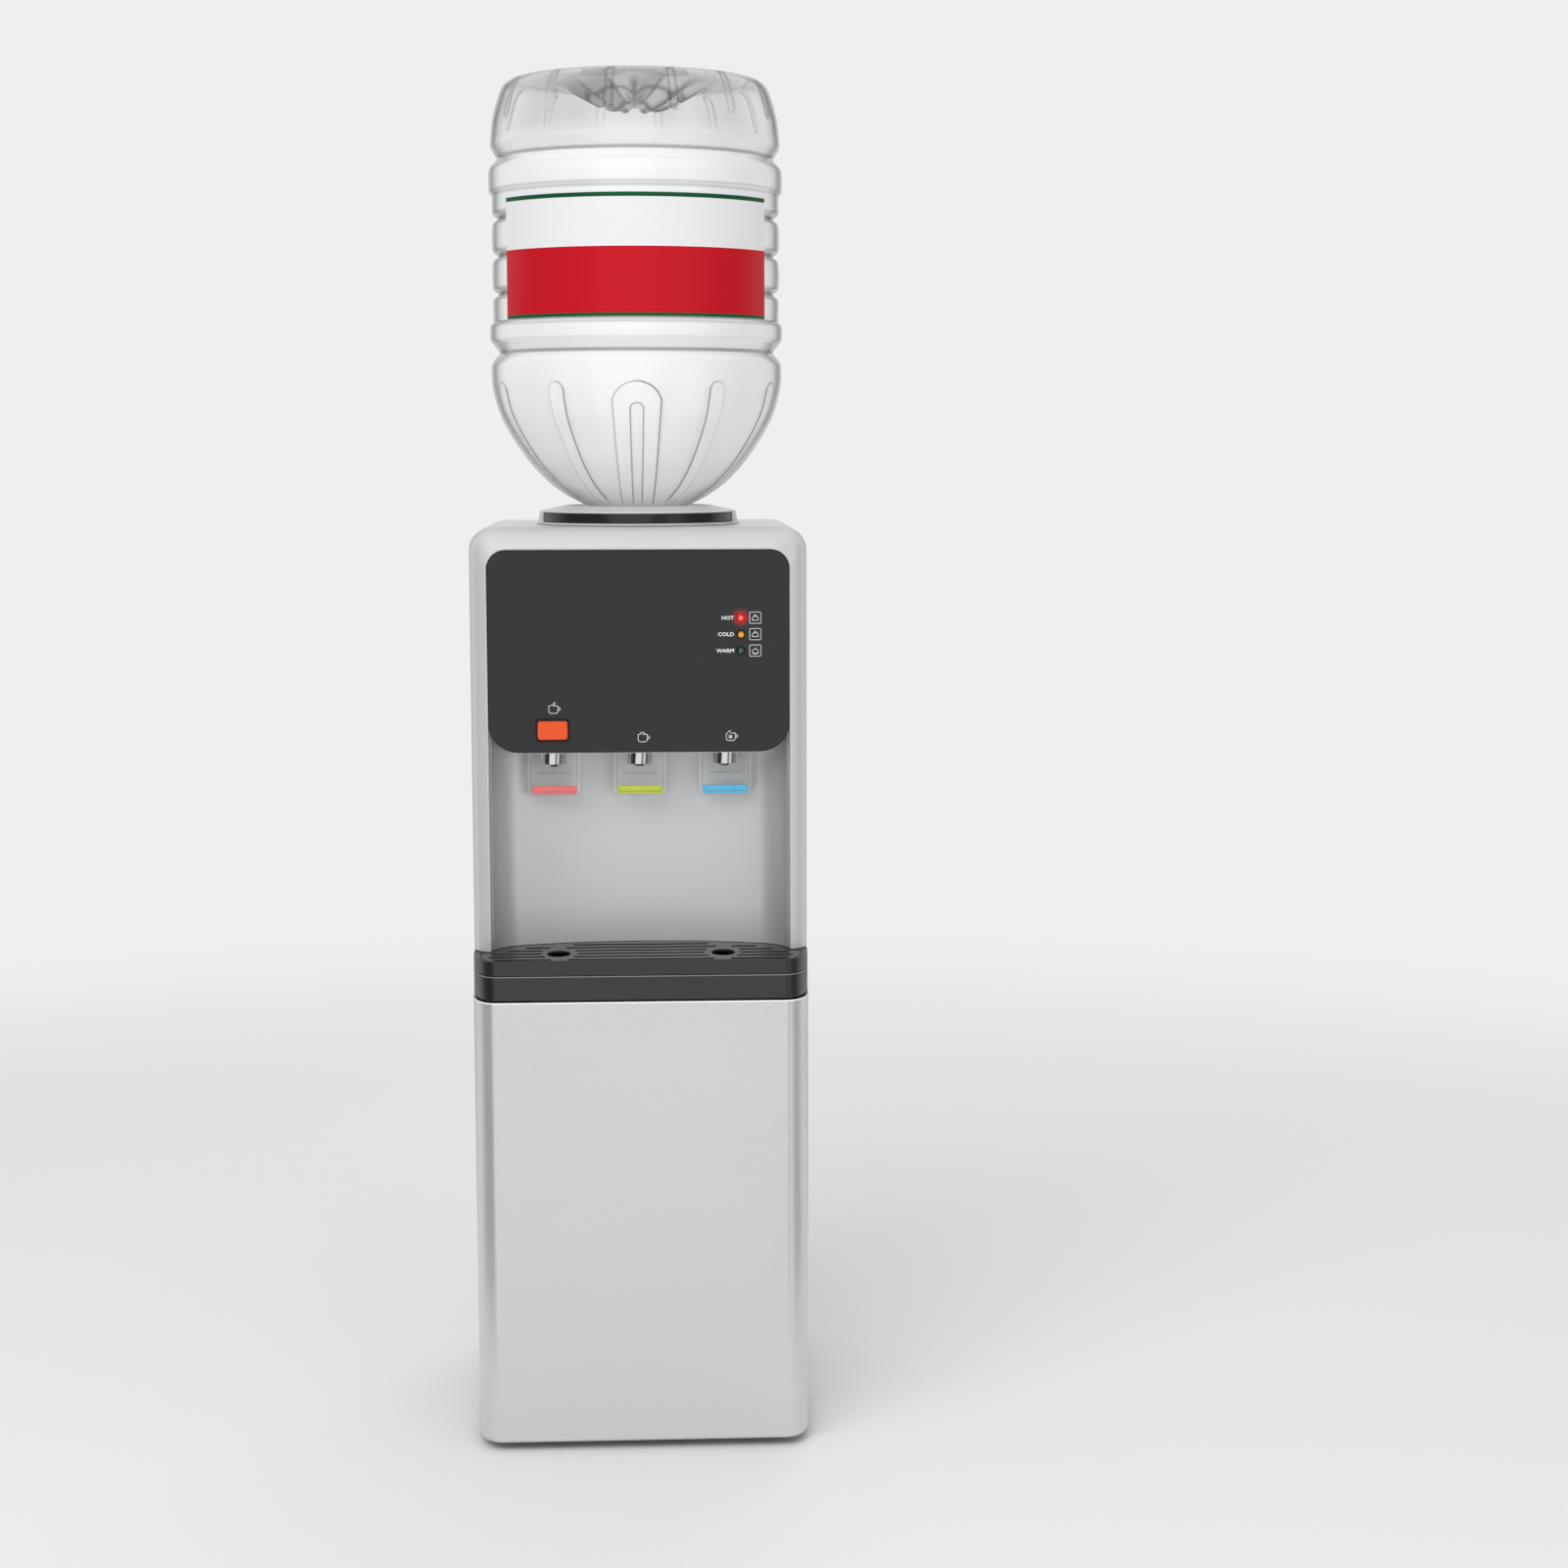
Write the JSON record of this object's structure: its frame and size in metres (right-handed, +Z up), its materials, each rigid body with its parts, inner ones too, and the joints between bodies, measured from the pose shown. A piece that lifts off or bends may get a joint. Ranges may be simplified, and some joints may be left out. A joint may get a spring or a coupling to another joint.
{
  "type": "water dispenser",
  "caption": "Free-standing top-loading water dispenser with hot, warm and cold taps over a slotted drip tray, a lower cabinet and an upturned bottle on a collared seat.",
  "frame": {"origin": "on the floor under the middle of the cabinet's outer box", "axes": "+Z up, the front faces -Y, +X to the right when seen from the front"},
  "size_m": [0.3, 0.33, 1.2288],
  "materials": {
    "silver_paint": "satin light silver grey",
    "light_plastic": "semi-gloss",
    "bay_plastic": "semi-gloss",
    "dark_plastic": "satin",
    "gloss_black": "gloss",
    "orange_plastic": "semi-gloss",
    "lamp_red": "clear-coated",
    "lamp_amber": "clear-coated",
    "lamp_green": "clear-coated",
    "board_green": "circuit board",
    "chrome": "polished",
    "clear_plastic": "clear moulded plastic",
    "clear_bottle": "clear blown plastic",
    "label_film": "printed film",
    "red_plastic": "semi-gloss",
    "green_plastic": "semi-gloss",
    "blue_plastic": "semi-gloss",
    "steel": "drawn",
    "black_steel": "black enamel",
    "foam": "expanded foam",
    "rubber": "matt"
  },
  "bodies": {
    "cabinet": {"base_pan": "black_steel", "foot_front_left": "rubber", "foot_front_right": "rubber", "foot_rear_left": "rubber", "foot_rear_right": "rubber", "lower_front_panel": "silver_paint", "left_side_panel": "silver_paint", "right_side_panel": "silver_paint", "rear_panel": "silver_paint", "top_cover": "light_plastic", "upper_front_frame": "light_plastic", "control_panel": "dark_plastic", "hot_lamp": "lamp_red", "cold_lamp": "lamp_amber", "warm_lamp": "lamp_green", "indicator_board": "board_green", "bay_liner": "bay_plastic", "tap_hood": "light_plastic", "hot_tap_body": "light_plastic", "warm_tap_body": "light_plastic", "cold_tap_body": "light_plastic", "hot_nozzle": "chrome", "warm_nozzle": "chrome", "cold_nozzle": "chrome", "paddle_shaft": "steel", "tray_shelf": "dark_plastic", "collar_ring": "light_plastic", "collar_band": "dark_plastic", "bottle_seat": "light_plastic", "bottle_probe": "light_plastic", "cold_tank": "steel", "tank_insulation": "foam", "tank_deck": "black_steel", "hot_tank": "steel", "compressor": "black_steel", "hot_hose": "light_plastic", "warm_hose": "light_plastic", "cold_hose": "light_plastic", "condenser_coil": "black_steel", "condenser_bracket": "black_steel", "switch_bezel": "gloss_black", "cord_gland": "rubber"},
    "bottle": {"bottle_shell": "clear_bottle", "bottle_cap": "light_plastic", "bottle_label": "label_film"},
    "tray": {"drip_tray": "dark_plastic"},
    "grille": {"drip_grille": "gloss_black"},
    "hot_paddle_body": {"hot_paddle": "clear_plastic", "hot_paddle_strip": "red_plastic"},
    "warm_paddle_body": {"warm_paddle": "clear_plastic", "warm_paddle_strip": "green_plastic"},
    "cold_paddle_body": {"cold_paddle": "clear_plastic", "cold_paddle_strip": "blue_plastic"},
    "hot_stem": {"hot_valve_stem": "steel"},
    "warm_stem": {"warm_valve_stem": "steel"},
    "cold_stem": {"cold_valve_stem": "steel"},
    "lock_button": {"hot_lock_button": "orange_plastic"},
    "hot_rocker": {"hot_switch": "red_plastic"},
    "cold_rocker": {"cold_switch": "light_plastic"},
    "drain": {"drain_cap": "gloss_black"}
  },
  "joints": [
    {"name": "bottle_lift", "type": "slide", "parent": "cabinet", "child": "bottle", "axis": [0, 0, 1], "range_m": [0, 0.12]},
    {"name": "drip_tray_slide", "type": "slide", "parent": "cabinet", "child": "tray", "axis": [0, -1, 0], "range_m": [0, 0.1]},
    {"name": "drip_grille_lift", "type": "slide", "parent": "tray", "child": "grille", "axis": [0, 0, 1], "range_m": [0, 0.05]},
    {"name": "hot_paddle_swing", "type": "hinge", "parent": "cabinet", "child": "hot_paddle_body", "pos_m": [-0.077, -0.092, 0.6362], "axis": [1, 0, 0], "range_deg": [0, 8], "stiffness_Nm_per_rad": 0.2},
    {"name": "warm_paddle_swing", "type": "hinge", "parent": "cabinet", "child": "warm_paddle_body", "pos_m": [0, -0.092, 0.6362], "axis": [1, 0, 0], "range_deg": [0, 8], "stiffness_Nm_per_rad": 0.2},
    {"name": "cold_paddle_swing", "type": "hinge", "parent": "cabinet", "child": "cold_paddle_body", "pos_m": [0.077, -0.092, 0.6362], "axis": [1, 0, 0], "range_deg": [0, 8], "stiffness_Nm_per_rad": 0.2},
    {"name": "hot_stem_push", "type": "slide", "parent": "cabinet", "child": "hot_stem", "axis": [0, -1, 0], "range_m": [0, 0.0018]},
    {"name": "warm_stem_push", "type": "slide", "parent": "cabinet", "child": "warm_stem", "axis": [0, -1, 0], "range_m": [0, 0.0018]},
    {"name": "cold_stem_push", "type": "slide", "parent": "cabinet", "child": "cold_stem", "axis": [0, -1, 0], "range_m": [0, 0.0018]},
    {"name": "hot_lock_press", "type": "slide", "parent": "cabinet", "child": "lock_button", "axis": [0, 1, 0], "range_m": [0, 0.002], "stiffness_N_per_m": 400},
    {"name": "hot_switch_rock", "type": "hinge", "parent": "cabinet", "child": "hot_rocker", "pos_m": [-0.1175, 0.144, 0.752], "axis": [1, 0, 0], "range_deg": [-16, 0]},
    {"name": "cold_switch_rock", "type": "hinge", "parent": "cabinet", "child": "cold_rocker", "pos_m": [-0.0985, 0.144, 0.752], "axis": [1, 0, 0], "range_deg": [-16, 0]},
    {"name": "drain_cap_turn", "type": "hinge", "parent": "cabinet", "child": "drain", "pos_m": [0.07, 0.145, 0.055], "axis": [0, 1, 0], "continuous": true}
  ],
  "couplings": [
    {"joint": "hot_stem_push", "follows": "hot_paddle_swing", "m_per_rad": 0.0125},
    {"joint": "warm_stem_push", "follows": "warm_paddle_swing", "m_per_rad": 0.0125},
    {"joint": "cold_stem_push", "follows": "cold_paddle_swing", "m_per_rad": 0.0125}
  ]
}
